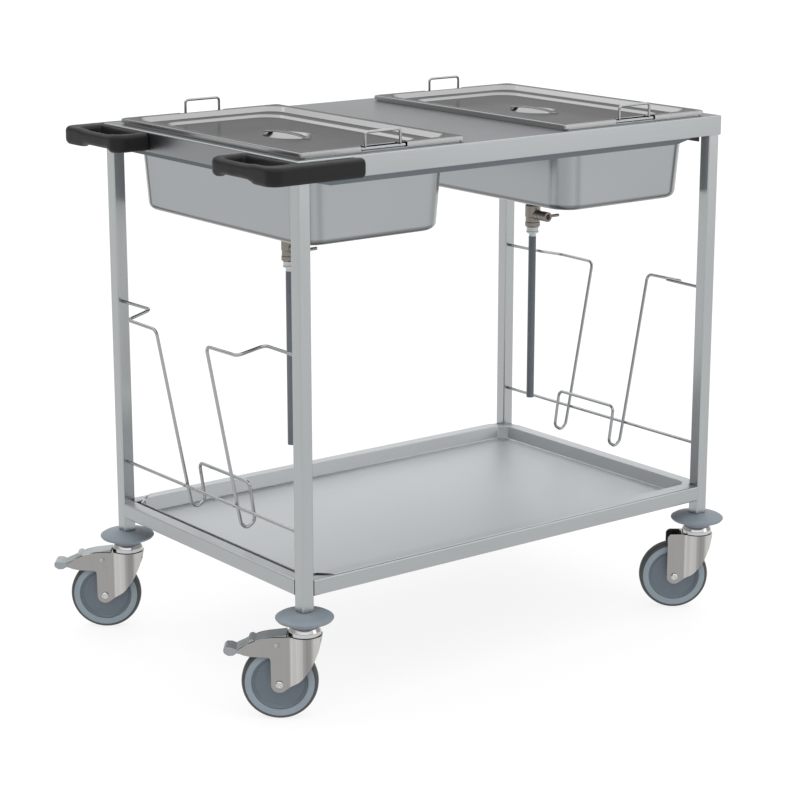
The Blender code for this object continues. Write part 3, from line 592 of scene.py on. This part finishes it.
def push_handles():
    """Black loops at the table's corners: a slim finger bar between thicker corner blocks, and a side arm."""
    for name, side in (("near", -1), ("far", 1)):
        low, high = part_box(f"push_handle_{name}")
        face_x, face_y = -HALF_L - 0.0003, HALF_W + 0.0003
        x_end = low.x - MID.x
        x_arm = high.x - MID.x
        y_in, y_out = HALF_W - 0.150, HALF_W + 0.028
        top, bottom = high.z, low.z
        outer = [(x_end, y_in, 0.020), (x_end, y_out, 0.021), (face_x, y_out, 0.002), (face_x, y_in, 0.002)]
        hx0, hx1, hy0, hy1 = -HALF_L - 0.050, -HALF_L - 0.010, HALF_W - 0.128, HALF_W - 0.008
        inner = [(hx0, hy0, 0.011), (hx0, hy1, 0.012), (hx1, hy1, 0.006), (hx1, hy0, 0.006)]

        def loop_points(corners, steps=6, cuts=14):
            points = []
            plan = [(x, y) for x, y, _ in corners]
            for i in range(4):
                bend = [plan[i - 1], plan[i], plan[(i + 1) % 4]]
                arc_points = fillet(bend, corners[i][2], steps=steps)[1:-1]
                following = fillet([plan[i], plan[(i + 1) % 4], plan[(i + 2) % 4]],
                                   corners[(i + 1) % 4][2], steps=steps)[1:-1]
                points += arc_points
                start, end = arc_points[-1], following[0]
                points += [start.lerp(end, k / cuts) for k in range(1, cuts)]
            return points
        pairs = []
        for a, b in zip(loop_points(inner), loop_points(outer)):
            span = (b.y - y_in) / (y_out - y_in)
            on_bar = max(0.0, min(1.0, (face_x - 0.040 - b.x) / 0.012))
            middle = max(0.0, min(1.0, (span - 0.10) / 0.06)) * max(0.0, min(1.0, (0.70 - span) / 0.06))
            rise = 0.0050 * on_bar * middle
            drop = 0.0014 * on_bar * middle
            pairs.append(((MID.x + a.x, MID.y + side * a.y), (MID.x + b.x, MID.y + side * b.y),
                          bottom + rise, top - drop))
        bm = bmesh.new()
        ribbon(bm, pairs, 0.0085, loop=True)
        tail = 0.006
        arm = [(face_x - 0.014, 0.0020), (face_x - 0.003, 0.0004)]
        arm += [(face_x + (x_arm - tail - face_x) * k / 8, 0.0) for k in range(9)]
        arm += [(x_arm - tail + tail * math.sin(math.radians(a)), tail - tail * math.cos(math.radians(a)))
                for a in (15, 30, 45, 60, 72, 82)]
        ribbon(bm, [((MID.x + x, MID.y + side * face_y), (MID.x + x, MID.y + side * (y_out - inset)),
                     bottom + min(inset, 0.0004), top - min(inset, 0.0004)) for x, inset in arm], 0.0085)
        make(f"push_loop_{name}", bm, BLACK, "trolley", f"push_handle_{name}", sharp=50)


# ---------------------------------------------------------------- pans, bails and lids
def pans(key):
    """Deep drawn pan with a rolled bottom edge, and the hinge barrels of its bails."""
    low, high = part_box(f"pan_{key}")
    mid = (low + high) / 2
    half_x, half_y = (high.x - low.x) / 2 + 0.001, (high.y - low.y) / 2 + 0.001
    depth, t, hole = TOP - low.z, 0.0012, 0.0095

    def corner_radius(inset):
        if inset < 0.0125:
            return 0.010 + (inset - 0.001) / 0.0115 * 0.034
        return 0.044 if inset < 0.0205 else max(0.044 - (inset - 0.0205), 0.018)

    def ring(inset, z):
        return rect_ring(mid.x, mid.y, half_x - inset, half_y - inset, corner_radius(inset), TOP + z)
    inside = fillet([(0.001, 0.0023), (0.0125, 0.0023), (0.0217, -depth + t), (0.046, -depth + t)],
                    [0, 0.004, 0.015, 0], steps=7)
    outside = fillet([(0.046, -depth), (0.0205, -depth), (0.0125, 0.0003), (0.001, 0.0003)],
                     [0, 0.0165, 0.002, 0], steps=7)
    rings = [ring(inset, z) for inset, z in inside]
    rings += [oval_ring(mid.x, mid.y, hole, hole, TOP - depth + z) for z in (t, 0.0)]
    rings += [ring(inset, z) for inset, z in outside]
    bm = bmesh.new()
    loft(bm, rings, loop=True)
    bail_y = half_y - 0.0045
    for s in (-1, 1):
        y, z = mid.y + s * bail_y, TOP + 0.0047
        sweep(bm, [(mid.x + x, y, z) for x in (-0.044, 0.0, 0.044)], 0.0028, 18)
        soft_box(bm, (mid.x - 0.042, y - 0.0018, TOP + 0.0018),
                 (mid.x + 0.042, y + 0.0018, TOP + 0.0040), 0.0006)
    make(f"pan_{key}_drawn", bm, PAN_STEEL, f"pan_{key}", f"pan_{key}")
    for bail, s in (("near", -1), ("far", 1)):
        y, z = mid.y + s * bail_y, TOP + 0.0047
        path = [(-0.0347, 0, 0.0031), (-0.0347, 0, 0.0265), (0.0347, 0, 0.0265), (0.0347, 0, 0.0031)]
        bm = bmesh.new()
        sweep(bm, [(mid.x + p[0], y, z + p[2]) for p in fillet(path, 0.0055, steps=7)], 0.0023, 16)
        make(f"bail_wire_{key}_{bail}", bm, WIRE, f"bail_{key}_{bail}", f"bail_{key}_{bail}")


def lids(key):
    """Pressed lid: rolled edge, two stepped levels, a finger dish and a grip bar across it."""
    low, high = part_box(f"lid_{key}")
    mid = (low + high) / 2
    half_x, half_y = (high.x - low.x) / 2, (high.y - low.y) / 2
    top, t = high.z, 0.0012
    skirt = TOP + 0.0026
    level1, level2, dish = top - 0.009, top - 0.014, top - 0.034

    def corner_radius(inset):
        if inset < 0.014:
            return 0.0035 + max(inset, 0.0) / 0.014 * 0.0265
        return min(0.030 + (inset - 0.014) * 0.30, 0.040)

    def ring(inset, z):
        return rect_ring(mid.x, mid.y, half_x - inset, half_y - inset, corner_radius(inset), z)

    def oval(inset, z):
        return oval_ring(mid.x, mid.y, 0.040 - inset, 0.050 - inset, z)

    def surface(lower):
        steps = fillet([(lower, skirt), (lower, top - lower), (0.0140, top - lower), (0.0200, level1 - lower),
                        (0.0440, level1 - lower), (0.0480, level2 - lower), (0.0600, level2 - lower)],
                       [0, 0.0022 - lower, 0.0030, 0.0030, 0.0020, 0.0020, 0], steps=5)
        bowl = fillet([(-0.006, level2 - lower), (0.0, level2 - lower), (0.0130, dish - lower + 0.0012),
                       (0.034, dish - lower + 0.0012)], [0, 0.0030, 0.0120, 0], steps=6)
        return [ring(i, z) for i, z in steps] + [oval(i, z) for i, z in bowl]
    bm = bmesh.new()
    loft(bm, list(reversed(surface(t))) + surface(0.0))
    notches = bmesh.new()
    for s in (-1, 1):
        y0, y1 = sorted((mid.y + s * (half_y - 0.010), mid.y + s * (half_y + 0.010)))
        soft_box(notches, (mid.x - 0.0455, y0, TOP - 0.02), (mid.x + 0.0455, y1, TOP + 0.03), 0.002)
    bm = carve(solid(bm), ("DIFFERENCE", notches))
    half_grip, grip_t = 0.0045, 0.0022
    section = fillet([(-half_grip, 0), (half_grip, 0), (half_grip, grip_t), (-half_grip, grip_t)], 0.0010,
                     closed=True, steps=3)
    stations = [(-0.062, 0.0), (-0.052, 0.0), (-0.044, 0.0010), (-0.034, 0.0024), (-0.018, 0.0032),
                (0.0, 0.0034), (0.018, 0.0032), (0.034, 0.0024), (0.044, 0.0010), (0.052, 0.0), (0.062, 0.0)]
    loft(bm, [[(mid.x + a, mid.y + y, level2 - 0.0006 + lift + b) for a, b in section]
              for y, lift in stations])
    for y in (-0.057, 0.057):
        for x in (-0.0022, 0.0022):
            dimple = bmesh.new()
            lathe(dimple, [(0.0001, 0.0006), (0.0011, 0.0004), (0.0016, 0.0)], 12)
            bmesh.ops.transform(dimple, matrix=Matrix.Translation((mid.x + x, mid.y + y, level2 + 0.0016)),
                                verts=dimple.verts)
            spot = bpy.data.meshes.new("spot")
            dimple.to_mesh(spot)
            dimple.free()
            bm.from_mesh(spot)
            bpy.data.meshes.remove(spot)
    make(f"lid_{key}_pressed", bm, LID_STEEL, f"lid_{key}", f"lid_{key}")


# ---------------------------------------------------------------- drain cocks and hoses
def drains(key):
    """Strainer, cock body with its collars and side branch, quarter-turn lever, hose tail and hose."""
    low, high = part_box(f"pan_{key}")
    x, y = (low.x + high.x) / 2, (low.y + high.y) / 2
    here = Matrix.Translation((x, y, TOP))
    floor = low.z - TOP
    bm = bmesh.new()
    lathe(bm, fillet([(0.0060, floor - 0.008), (0.0085, floor - 0.008), (0.0085, floor + 0.0015),
                      (0.0180, floor + 0.0015), (0.0180, floor + 0.0035), (0.0060, floor + 0.0035)],
                     0.0006, closed=True, steps=2), 40, loop=True)
    make(f"strainer_flange_{key}", bm, NICKEL, f"pan_{key}", f"drain_strainer_{key}", here)

    bm = bmesh.new()
    profile = [(0.0060, -0.2160), (0.0125, -0.2160), (0.0138, -0.2145), (0.0138, -0.2080), (0.0130, -0.2070),
               (0.0130, -0.1985), (0.0140, -0.1975), (0.0140, -0.1775), (0.0128, -0.1755), (0.0120, -0.1735),
               (0.0120, -0.1560), (0.0185, -0.1555), (0.0185, floor - 0.0003), (0.0092, floor - 0.0003),
               (0.0092, -0.1560), (0.0060, -0.1570)]
    lathe(bm, fillet(profile, 0.0005, closed=True, steps=2), 40, loop=True)
    hexagon = [[(0.0139 * math.cos(math.tau * (i + 0.5) / 6), 0.0139 * math.sin(math.tau * (i + 0.5) / 6), z)
                for i in range(6)] for z in (-0.1700, -0.1575)]
    loft(bm, hexagon)
    branch = bmesh.new()
    lathe(branch, fillet([(0.0001, 0.009), (0.0095, 0.009), (0.0095, 0.0165), (0.0078, 0.0175),
                          (0.0078, 0.0225),
                          (0.0088, 0.0235), (0.0088, 0.0298), (0.0001, 0.0298)], 0.0005, steps=2), 32)
    bmesh.ops.transform(branch, matrix=Matrix.Translation((0, 0, -0.1935))
                        @ Matrix.Rotation(math.radians(90), 4, "X"), verts=branch.verts)
    stub = bpy.data.meshes.new("stub")
    branch.to_mesh(stub)
    branch.free()
    bm.from_mesh(stub)
    bpy.data.meshes.remove(stub)
    make(f"cock_body_{key}", bm, NICKEL, f"pan_{key}", f"valve_body_{key}", here)

    lever_place = Matrix.Translation((x, y - 0.0303, TOP - 0.1935))
    along_y = Matrix.Rotation(math.radians(90), 4, "X")
    bm = bmesh.new()
    cap = fillet([(0.0001, 0.0), (0.0090, 0.0), (0.0090, 0.0042), (0.0075, 0.0050), (0.0075, 0.0068),
                  (0.0090, 0.0076), (0.0090, 0.0125), (0.0050, 0.0125), (0.0044, 0.0108), (0.0001, 0.0108)],
                 0.0005, steps=2)
    # The bands at the floor of the cap's recess take the painted-shade metal.
    lathe(bm, cap, 36, mat_of=lambda band: 1 if band >= 23 else 0)
    bmesh.ops.transform(bm, matrix=along_y, verts=bm.verts)
    sweep(bm, [(x, -0.0058, 0) for x in (0.004, 0.016, 0.028, 0.031)], 0.0028, 16)
    make(f"cock_lever_{key}", bm, [NICKEL, RECESS_SHADE_METAL], f"valve_lever_{key}", f"valve_lever_{key}",
         lever_place)

    bm = bmesh.new()
    tail = [(0.0040, -0.2285), (0.0045, -0.2163), (0.0112, -0.2163), (0.0115, -0.2175), (0.0106, -0.2190),
            (0.0106, -0.2235), (0.0115, -0.2248), (0.0115, -0.2262), (0.0092, -0.2285), (0.0063, -0.2290),
            (0.0066, -0.2320), (0.0063, -0.2342), (0.0040, -0.2342)]
    lathe(bm, fillet(tail, 0.0004, closed=True, steps=2), 36, loop=True)
    make(f"tail_piece_{key}", bm, TAIL, f"pan_{key}", f"hose_tail_{key}", here)

    hose_low, hose_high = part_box(f"drain_hose_{key}")
    length = hose_high.z - hose_low.z
    curve = bpy.data.curves.new(f"hose_{key}", "CURVE")
    curve.dimensions = "3D"
    curve.bevel_depth = (hose_high.y - hose_low.y) / 2
    curve.bevel_resolution = 8
    curve.use_fill_caps = True
    spline = curve.splines.new("POLY")
    count = 20
    spline.points.add(count)
    for i, point in enumerate(spline.points):
        point.co = (x, y, hose_high.z - length * i / count, 1.0)
    curve.materials.append(HOSE)
    hose = bpy.data.objects.new(f"hose_{key}", curve)
    bpy.context.scene.collection.objects.link(hose)
    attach(hose, f"pan_{key}")
    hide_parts(f"drain_hose_{key}")


# ---------------------------------------------------------------- wire racks
def racks():
    """Bent wire holder at each end, welded on a straight rod between the legs."""
    for name, end in (("handle_end", -1), ("far_end", 1)):
        leg_x, leg_y = LEG_X, LEG_Y - LEG / 2 - 0.0003
        step_y, wire_y = 0.173, 0.0765
        half = [
            (leg_x, leg_y, -0.3105), (leg_x, step_y, -0.3095), (leg_x + 0.0495, step_y - 0.006, -0.3205),
            (leg_x + 0.0495, wire_y, -0.3215), (leg_x - 0.0052, wire_y, -0.6000),
            (leg_x - 0.0120, wire_y, -0.6330), (leg_x - 0.0235, wire_y, -0.6440),
            (leg_x - 0.0400, wire_y, -0.6330), (leg_x - 0.0300, wire_y, -0.5650),
        ]
        points = half + [(x, -y, z) for x, y, z in reversed(half)]
        points = [(MID.x + end * x, MID.y + y, TOP + z) for x, y, z in points]
        bm = bmesh.new()
        sweep(bm, fillet(points, 0.011, steps=7), 0.0029, 16)
        rod = [(MID.x + end * leg_x, MID.y + s * leg_y, TOP - 0.6005) for s in (-1.0, -0.4, 0.4, 1.0)]
        sweep(bm, rod, 0.0028, 16)
        for y in (-wire_y, wire_y):
            soft_box(bm, (MID.x + end * leg_x - 0.0045, MID.y + y - 0.0020, TOP - 0.6025),
                     (MID.x + end * leg_x + 0.0030, MID.y + y + 0.0020, TOP - 0.5985), 0.0012)
        make(f"rack_wire_{name}", bm, WIRE, "trolley", f"wire_rack_{name}")


# ---------------------------------------------------------------- castors
def castor(name):
    """Bumper disc, race, fork, bolt, wheel and, at the handle end, a brake pedal."""
    low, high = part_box(f"castor_race_{name}")
    swivel = Matrix.Translation(((low.x + high.x) / 2, (low.y + high.y) / 2, 0.0))
    place = swivel @ Matrix.Rotation(CASTOR_TURN, 4, "Z")
    braked = name.startswith("handle_end")
    body, slot = f"castor_{name}", "castor_zinc"
    bm = bmesh.new()
    lathe(bm, fillet([(0.0001, 0.1563), (0.0235, 0.1563), (0.0262, 0.1590), (0.0300, 0.1622),
                      (0.0450, 0.1670), (0.0488, 0.1715), (0.0410, 0.1762), (0.0250, 0.1797),
                      (0.0150, 0.1808), (0.0001, 0.1808)],
                     [0, 0.001, 0.004, 0.004, 0.003, 0.0022, 0.012, 0.012, 0.002, 0], steps=5), 72)
    make(f"bumper_{name}", bm, BUMPER, "trolley", f"bumper_disc_{name}", swivel)
    bm = bmesh.new()
    lathe(bm, fillet([(0.0001, 0.1428), (0.0262, 0.1428), (0.0268, 0.1434), (0.0268, 0.1460),
                      (0.0268, 0.1495),
                      (0.0235, 0.1560), (0.0001, 0.1560)], [0, 0.0005, 0.0004, 0.0014, 0.0040, 0.001, 0],
                     steps=5), 72)
    make(f"race_ring_{name}", bm, POLISHED, "trolley", f"castor_race_{name}", swivel)
    fork(name, braked, place, body)
    axle = place @ Matrix.Translation((TRAIL, 0, WHEEL_R)) @ Matrix.Rotation(math.radians(-90), 4, "X")
    face = 0.0208
    bm = bmesh.new()
    head = [(0.0001, face + 0.0028), (0.0022, face + 0.0028), (0.0030, face + 0.0034),
            (0.0048, face + 0.0034),
            (0.0062, face + 0.0022), (0.0062, face), (0.0040, face)]
    lathe(bm, fillet([(r, -z) for r, z in head] + [(r, z) for r, z in reversed(head)], 0.0005, steps=2), 32)
    make(f"axle_{name}", bm, POLISHED, body, f"axle_bolt_{name}", axle)
    wheel(name, axle)
    if braked:
        pedal(name, place)


def fork(name, braked, place, body):
    """Pressed fork: flat cheeks that run into a round front, cut back below, with a pivot pin on each cheek
    of a braked fork.
    """
    crown, plate, half, radius = 0.1425, 0.0026, 0.0205, 0.0293
    outline = [(-0.0290, crown), (0.0300, crown)]
    radii = [0.001, 0.0]
    if braked:
        outline += [(0.0520, 0.1425), (0.0705, 0.1398), (0.0890, 0.1322), (0.1080, 0.1210),
                    (0.1097, 0.1172), (0.0970, 0.1120), (0.0857, 0.1098), (0.0548, 0.1088)]
        radii += [0.05, 0.05, 0.05, 0.006, 0.004, 0.03, 0.03, 0.0055]
    else:
        outline += [(0.0490, crown), (0.0540, 0.1370)]
        radii += [0.006, 0.006]
    outline += [(0.0541, 0.0675)]
    radii += [0.0]
    lower = arc((TRAIL, WHEEL_R - 0.0005), 0.0134, 0, -125, 10)
    outline += lower + [(0.0050, 0.0715), (-0.0119, 0.0935), (-0.0232, 0.1186)]
    radii += [0.0] * len(lower) + [0.05, 0.05, 0.05]
    side = bmesh.new()
    prism(side, fillet(outline, radii, closed=True, steps=5), -0.0300, 0.0300)

    def fork_plan(reach, width, back, blend):
        meet = math.degrees(math.asin(width / reach))
        crown_arc = arc((0.0, 0.0), reach, meet, 360 - meet, 44)
        x, y = crown_arc[0]
        run_in = fillet([crown_arc[3], (x, y), (x + 0.012, y)], blend, steps=6)
        run_in = [(p.x, p.y) for p in run_in if p.x > crown_arc[3][0]]
        upper = list(reversed(run_in[:-1]))
        lower = [(px, -py) for px, py in reversed(upper)]
        return upper + crown_arc[3:-3] + lower + [(back, -width), (back, width)]
    plan, slot_cut, back_cut = bmesh.new(), bmesh.new(), bmesh.new()
    plan_prism(plan, fork_plan(radius, half, 0.130, 0.010), 0.0, 0.2)
    plan_prism(slot_cut, fork_plan(radius - plate, half - plate, 0.140, 0.010), -0.01, crown - plate)
    soft_box(back_cut, (0.0279, -half + plate, 0.10), (0.150, half - plate, 0.16), 0.002)
    bore = bmesh.new()
    lathe(bore, [(0.0042, -0.03), (0.0042, 0.03)], 24)
    bmesh.ops.transform(bore, matrix=Matrix.Translation((TRAIL, 0, WHEEL_R))
                        @ Matrix.Rotation(math.radians(90), 4, "X"), verts=bore.verts)
    bm = carve(solid(side), ("INTERSECT", plan), ("DIFFERENCE", slot_cut), ("DIFFERENCE", back_cut),
               ("DIFFERENCE", bore))
    bevel_sharp(bm, 0.0011, 4)
    pins = [(PEDAL_PIVOT.x, PEDAL_PIVOT.z, 0.0044)] if braked else []
    for s in (-1, 1):
        for px, pz, radius in pins:
            pin = bmesh.new()
            lathe(pin, fillet([(0.0001, 0.0012), (radius * 0.45, 0.0012), (radius * 0.6, 0.0006),
                               (radius, 0.0004), (radius, -0.0010), (0.0001, -0.0010)], 0.0003, steps=2), 24)
            bmesh.ops.transform(pin, matrix=Matrix.Translation((px, s * half, pz))
                                @ Matrix.Rotation(math.radians(-90 * s), 4, "X"), verts=pin.verts)
            head = bpy.data.meshes.new("head")
            pin.to_mesh(head)
            pin.free()
            bm.from_mesh(head)
            bpy.data.meshes.remove(head)
    make(f"fork_{name}", bm, ZINC, body, f"castor_fork_{name}", place, sharp=40)


def wheel(name, axle):
    """Dished hub with a boss, and a tyre with a light side ring and a running face darkened as painted shade.
    """
    bm = bmesh.new()
    dish = [(0.0042, 0.0165), (0.0105, 0.0165), (0.0125, 0.0150), (0.0135, 0.0095), (0.0200, 0.0075),
            (0.0320, 0.0066), (0.0400, 0.0078), (0.0436, 0.0108), (0.0455, 0.0120)]
    profile = [(r, -z) for r, z in dish] + [(r, z) for r, z in reversed(dish)]
    lathe(bm, fillet(profile, 0.0014, closed=True, steps=3), 72, loop=True)
    make(f"hub_dish_{name}", bm, HUB, f"wheel_{name}", f"wheel_hub_{name}", axle)
    side = [(0.0458, 0.0122), (0.0470, 0.0132), (0.0548, 0.0134), (0.0566, 0.0124), (0.0570, 0.0122),
            (0.0600, 0.0112), (0.0617, 0.0088), (WHEEL_R, 0.0040)]
    profile = [(r, -z) for r, z in side] + [(r, z) for r, z in reversed(side)]
    bm = bmesh.new()
    count = len(side)

    # The running-face bands take the painted-shade rubber.
    def tread(band):
        return 1 if 3 <= band <= 2 * count - 5 else 0
    lathe(bm, profile, 96, loop=True, mat_of=tread)
    make(f"tyre_ring_{name}", bm, [TYRE, TREAD_SHADE], f"wheel_{name}", f"tyre_{name}", axle)


def pedal(name, place):
    """Brake lever: a bent plate with a raised release tab and a round toe bar."""
    bm = bmesh.new()
    outline = [(0.0285, 0.1280), (0.0620, 0.1275), (0.0860, 0.1225), (0.1060, 0.1135), (0.1110, 0.1150),
               (0.1110, 0.1222), (0.0917, 0.1310), (0.0890, 0.1384), (0.0835, 0.1394), (0.0790, 0.1365),
               (0.0600, 0.1430), (0.0285, 0.1466)]
    radii = [0.001, 0.02, 0.02, 0.002, 0.002, 0.002, 0.002, 0.003, 0.003, 0.002, 0.03, 0.001]
    prism(bm, fillet(outline, radii, closed=True, steps=4), -0.0175, 0.0175)
    bevel_sharp(bm, 0.0009, 2)
    toe = fillet([(0.1085, 0.1150), (0.1150, 0.1105), (0.1230, 0.1100), (0.1300, 0.1145), (0.1312, 0.1205),
                  (0.1265, 0.1248), (0.1180, 0.1244), (0.1100, 0.1212)], 0.003, closed=True, steps=4)
    bar = bmesh.new()
    prism(bar, toe, -0.0175, 0.0175)
    bevel_sharp(bar, 0.0014, 3)
    for k in range(4):
        z = 0.1330 + 0.0015 * k
        soft_box(bar, (0.0845, -0.0165, z - 0.0004), (0.0914 - 0.0006 * k, 0.0165, z + 0.0004), 0.0003, 2)
    extra = bpy.data.meshes.new("toe")
    bar.to_mesh(extra)
    bar.free()
    bm.from_mesh(extra)
    bpy.data.meshes.remove(extra)
    make(f"pedal_lever_{name}", bm, PEDAL, f"pedal_{name}", f"brake_pedal_{name}", place,
         sharp=40)


table_top()
top_frame()
legs()
rails()
tray()
push_handles()
for pan_key in "12":
    pans(pan_key)
    lids(pan_key)
    drains(pan_key)
racks()
for corner_name in CORNERS:
    castor(corner_name)


# ---------------------------------------------------------------- floor, light and camera
def floor():
    """A wide pale floor that fades into the pale surroundings."""
    bm = bmesh.new()
    bmesh.ops.create_grid(bm, x_segments=4, y_segments=4, size=60.0)
    mesh = bpy.data.meshes.new("floor")
    bm.to_mesh(mesh)
    bm.free()
    made = Nodes("floor_paint", (0.16, 0.16, 0.16), 0.85)
    grain = made.noise((3.0, 3.0, 3.0), 2.0)
    made.to(made.mix(made.span(grain, 0.0, 1.0), (0.158, 0.158, 0.158), (0.162, 0.162, 0.162)), "Base Color")
    made.shader.inputs["Specular IOR Level"].default_value = 0.1
    made.shader.inputs["Emission Color"].default_value = (1.0, 1.0, 1.0, 1.0)
    made.shader.inputs["Emission Strength"].default_value = 0.82
    mesh.materials.append(made.material)
    obj = bpy.data.objects.new("floor", mesh)
    bpy.context.scene.collection.objects.link(obj)


def surroundings():
    """Soft studio surroundings: bright above, quieter towards the horizon."""
    world = bpy.data.worlds.new("studio")
    bpy.context.scene.world = world
    world.use_nodes = True
    tree = world.node_tree
    background = tree.nodes["Background"]
    coords = tree.nodes.new("ShaderNodeTexCoord")
    split = tree.nodes.new("ShaderNodeSeparateXYZ")
    ramp = tree.nodes.new("ShaderNodeValToRGB")
    tree.links.new(coords.outputs["Generated"], split.inputs["Vector"])
    tree.links.new(split.outputs["Z"], ramp.inputs["Fac"])
    tree.links.new(ramp.outputs["Color"], background.inputs["Color"])
    stops = ramp.color_ramp.elements
    stops[0].position, stops[0].color = 0.0, (0.34, 0.34, 0.34, 1)
    stops[1].position, stops[1].color = 1.0, (1.0, 1.0, 1.0, 1)
    low = stops.new(0.36)
    low.color = (0.30, 0.30, 0.305, 1)
    mid = stops.new(0.60)
    mid.color = (1.0, 1.0, 1.0, 1)
    background.inputs["Strength"].default_value = 1.7


def area_light(name, location, target, size, power):
    """A large soft light aimed at a point."""
    data = bpy.data.lights.new(name, "AREA")
    data.shape = "RECTANGLE"
    data.size, data.size_y = size
    data.energy = power
    obj = bpy.data.objects.new(name, data)
    bpy.context.scene.collection.objects.link(obj)
    obj.location = location
    obj.rotation_mode = "QUATERNION"
    obj.rotation_quaternion = (Vector(target) - Vector(location)).to_track_quat("-Z", "Y")
    obj.visible_camera = False


def camera():
    """Camera at the trolley's near left, a little above the table top."""
    yaw, pitch, field = math.radians(37.665), math.radians(14.379), 9.9655
    data = bpy.data.cameras.new("camera")
    data.sensor_width = 36.0
    data.lens = 18.0 / math.tan(math.radians(field))
    data.clip_end = 200.0
    obj = bpy.data.objects.new("camera", data)
    bpy.context.scene.collection.objects.link(obj)
    obj.location = (TOP_LOW.x - 1.9785, TOP_LOW.y - 2.8185, TOP + 0.5083)
    ahead = Vector((math.sin(yaw) * math.cos(pitch), math.cos(yaw) * math.cos(pitch), -math.sin(pitch)))
    obj.rotation_mode = "QUATERNION"
    obj.rotation_quaternion = ahead.to_track_quat("-Z", "Y")
    bpy.context.scene.camera = obj


floor()
surroundings()
area_light("side", (2.4, -3.4, 1.3), (0.0, 0.0, 0.6), (2.2, 1.6), 15.0)
area_light("behind", (1.35, 2.25, 0.82), (-0.1, 0.0, 0.25), (2.8, 0.6), 4.2)
area_light("edge", (-1.2, 2.3, 2.7), (0.0, 0.0, 0.8), (1.6, 1.0), 3.0)
camera()
bpy.context.scene.view_settings.view_transform = "Standard"
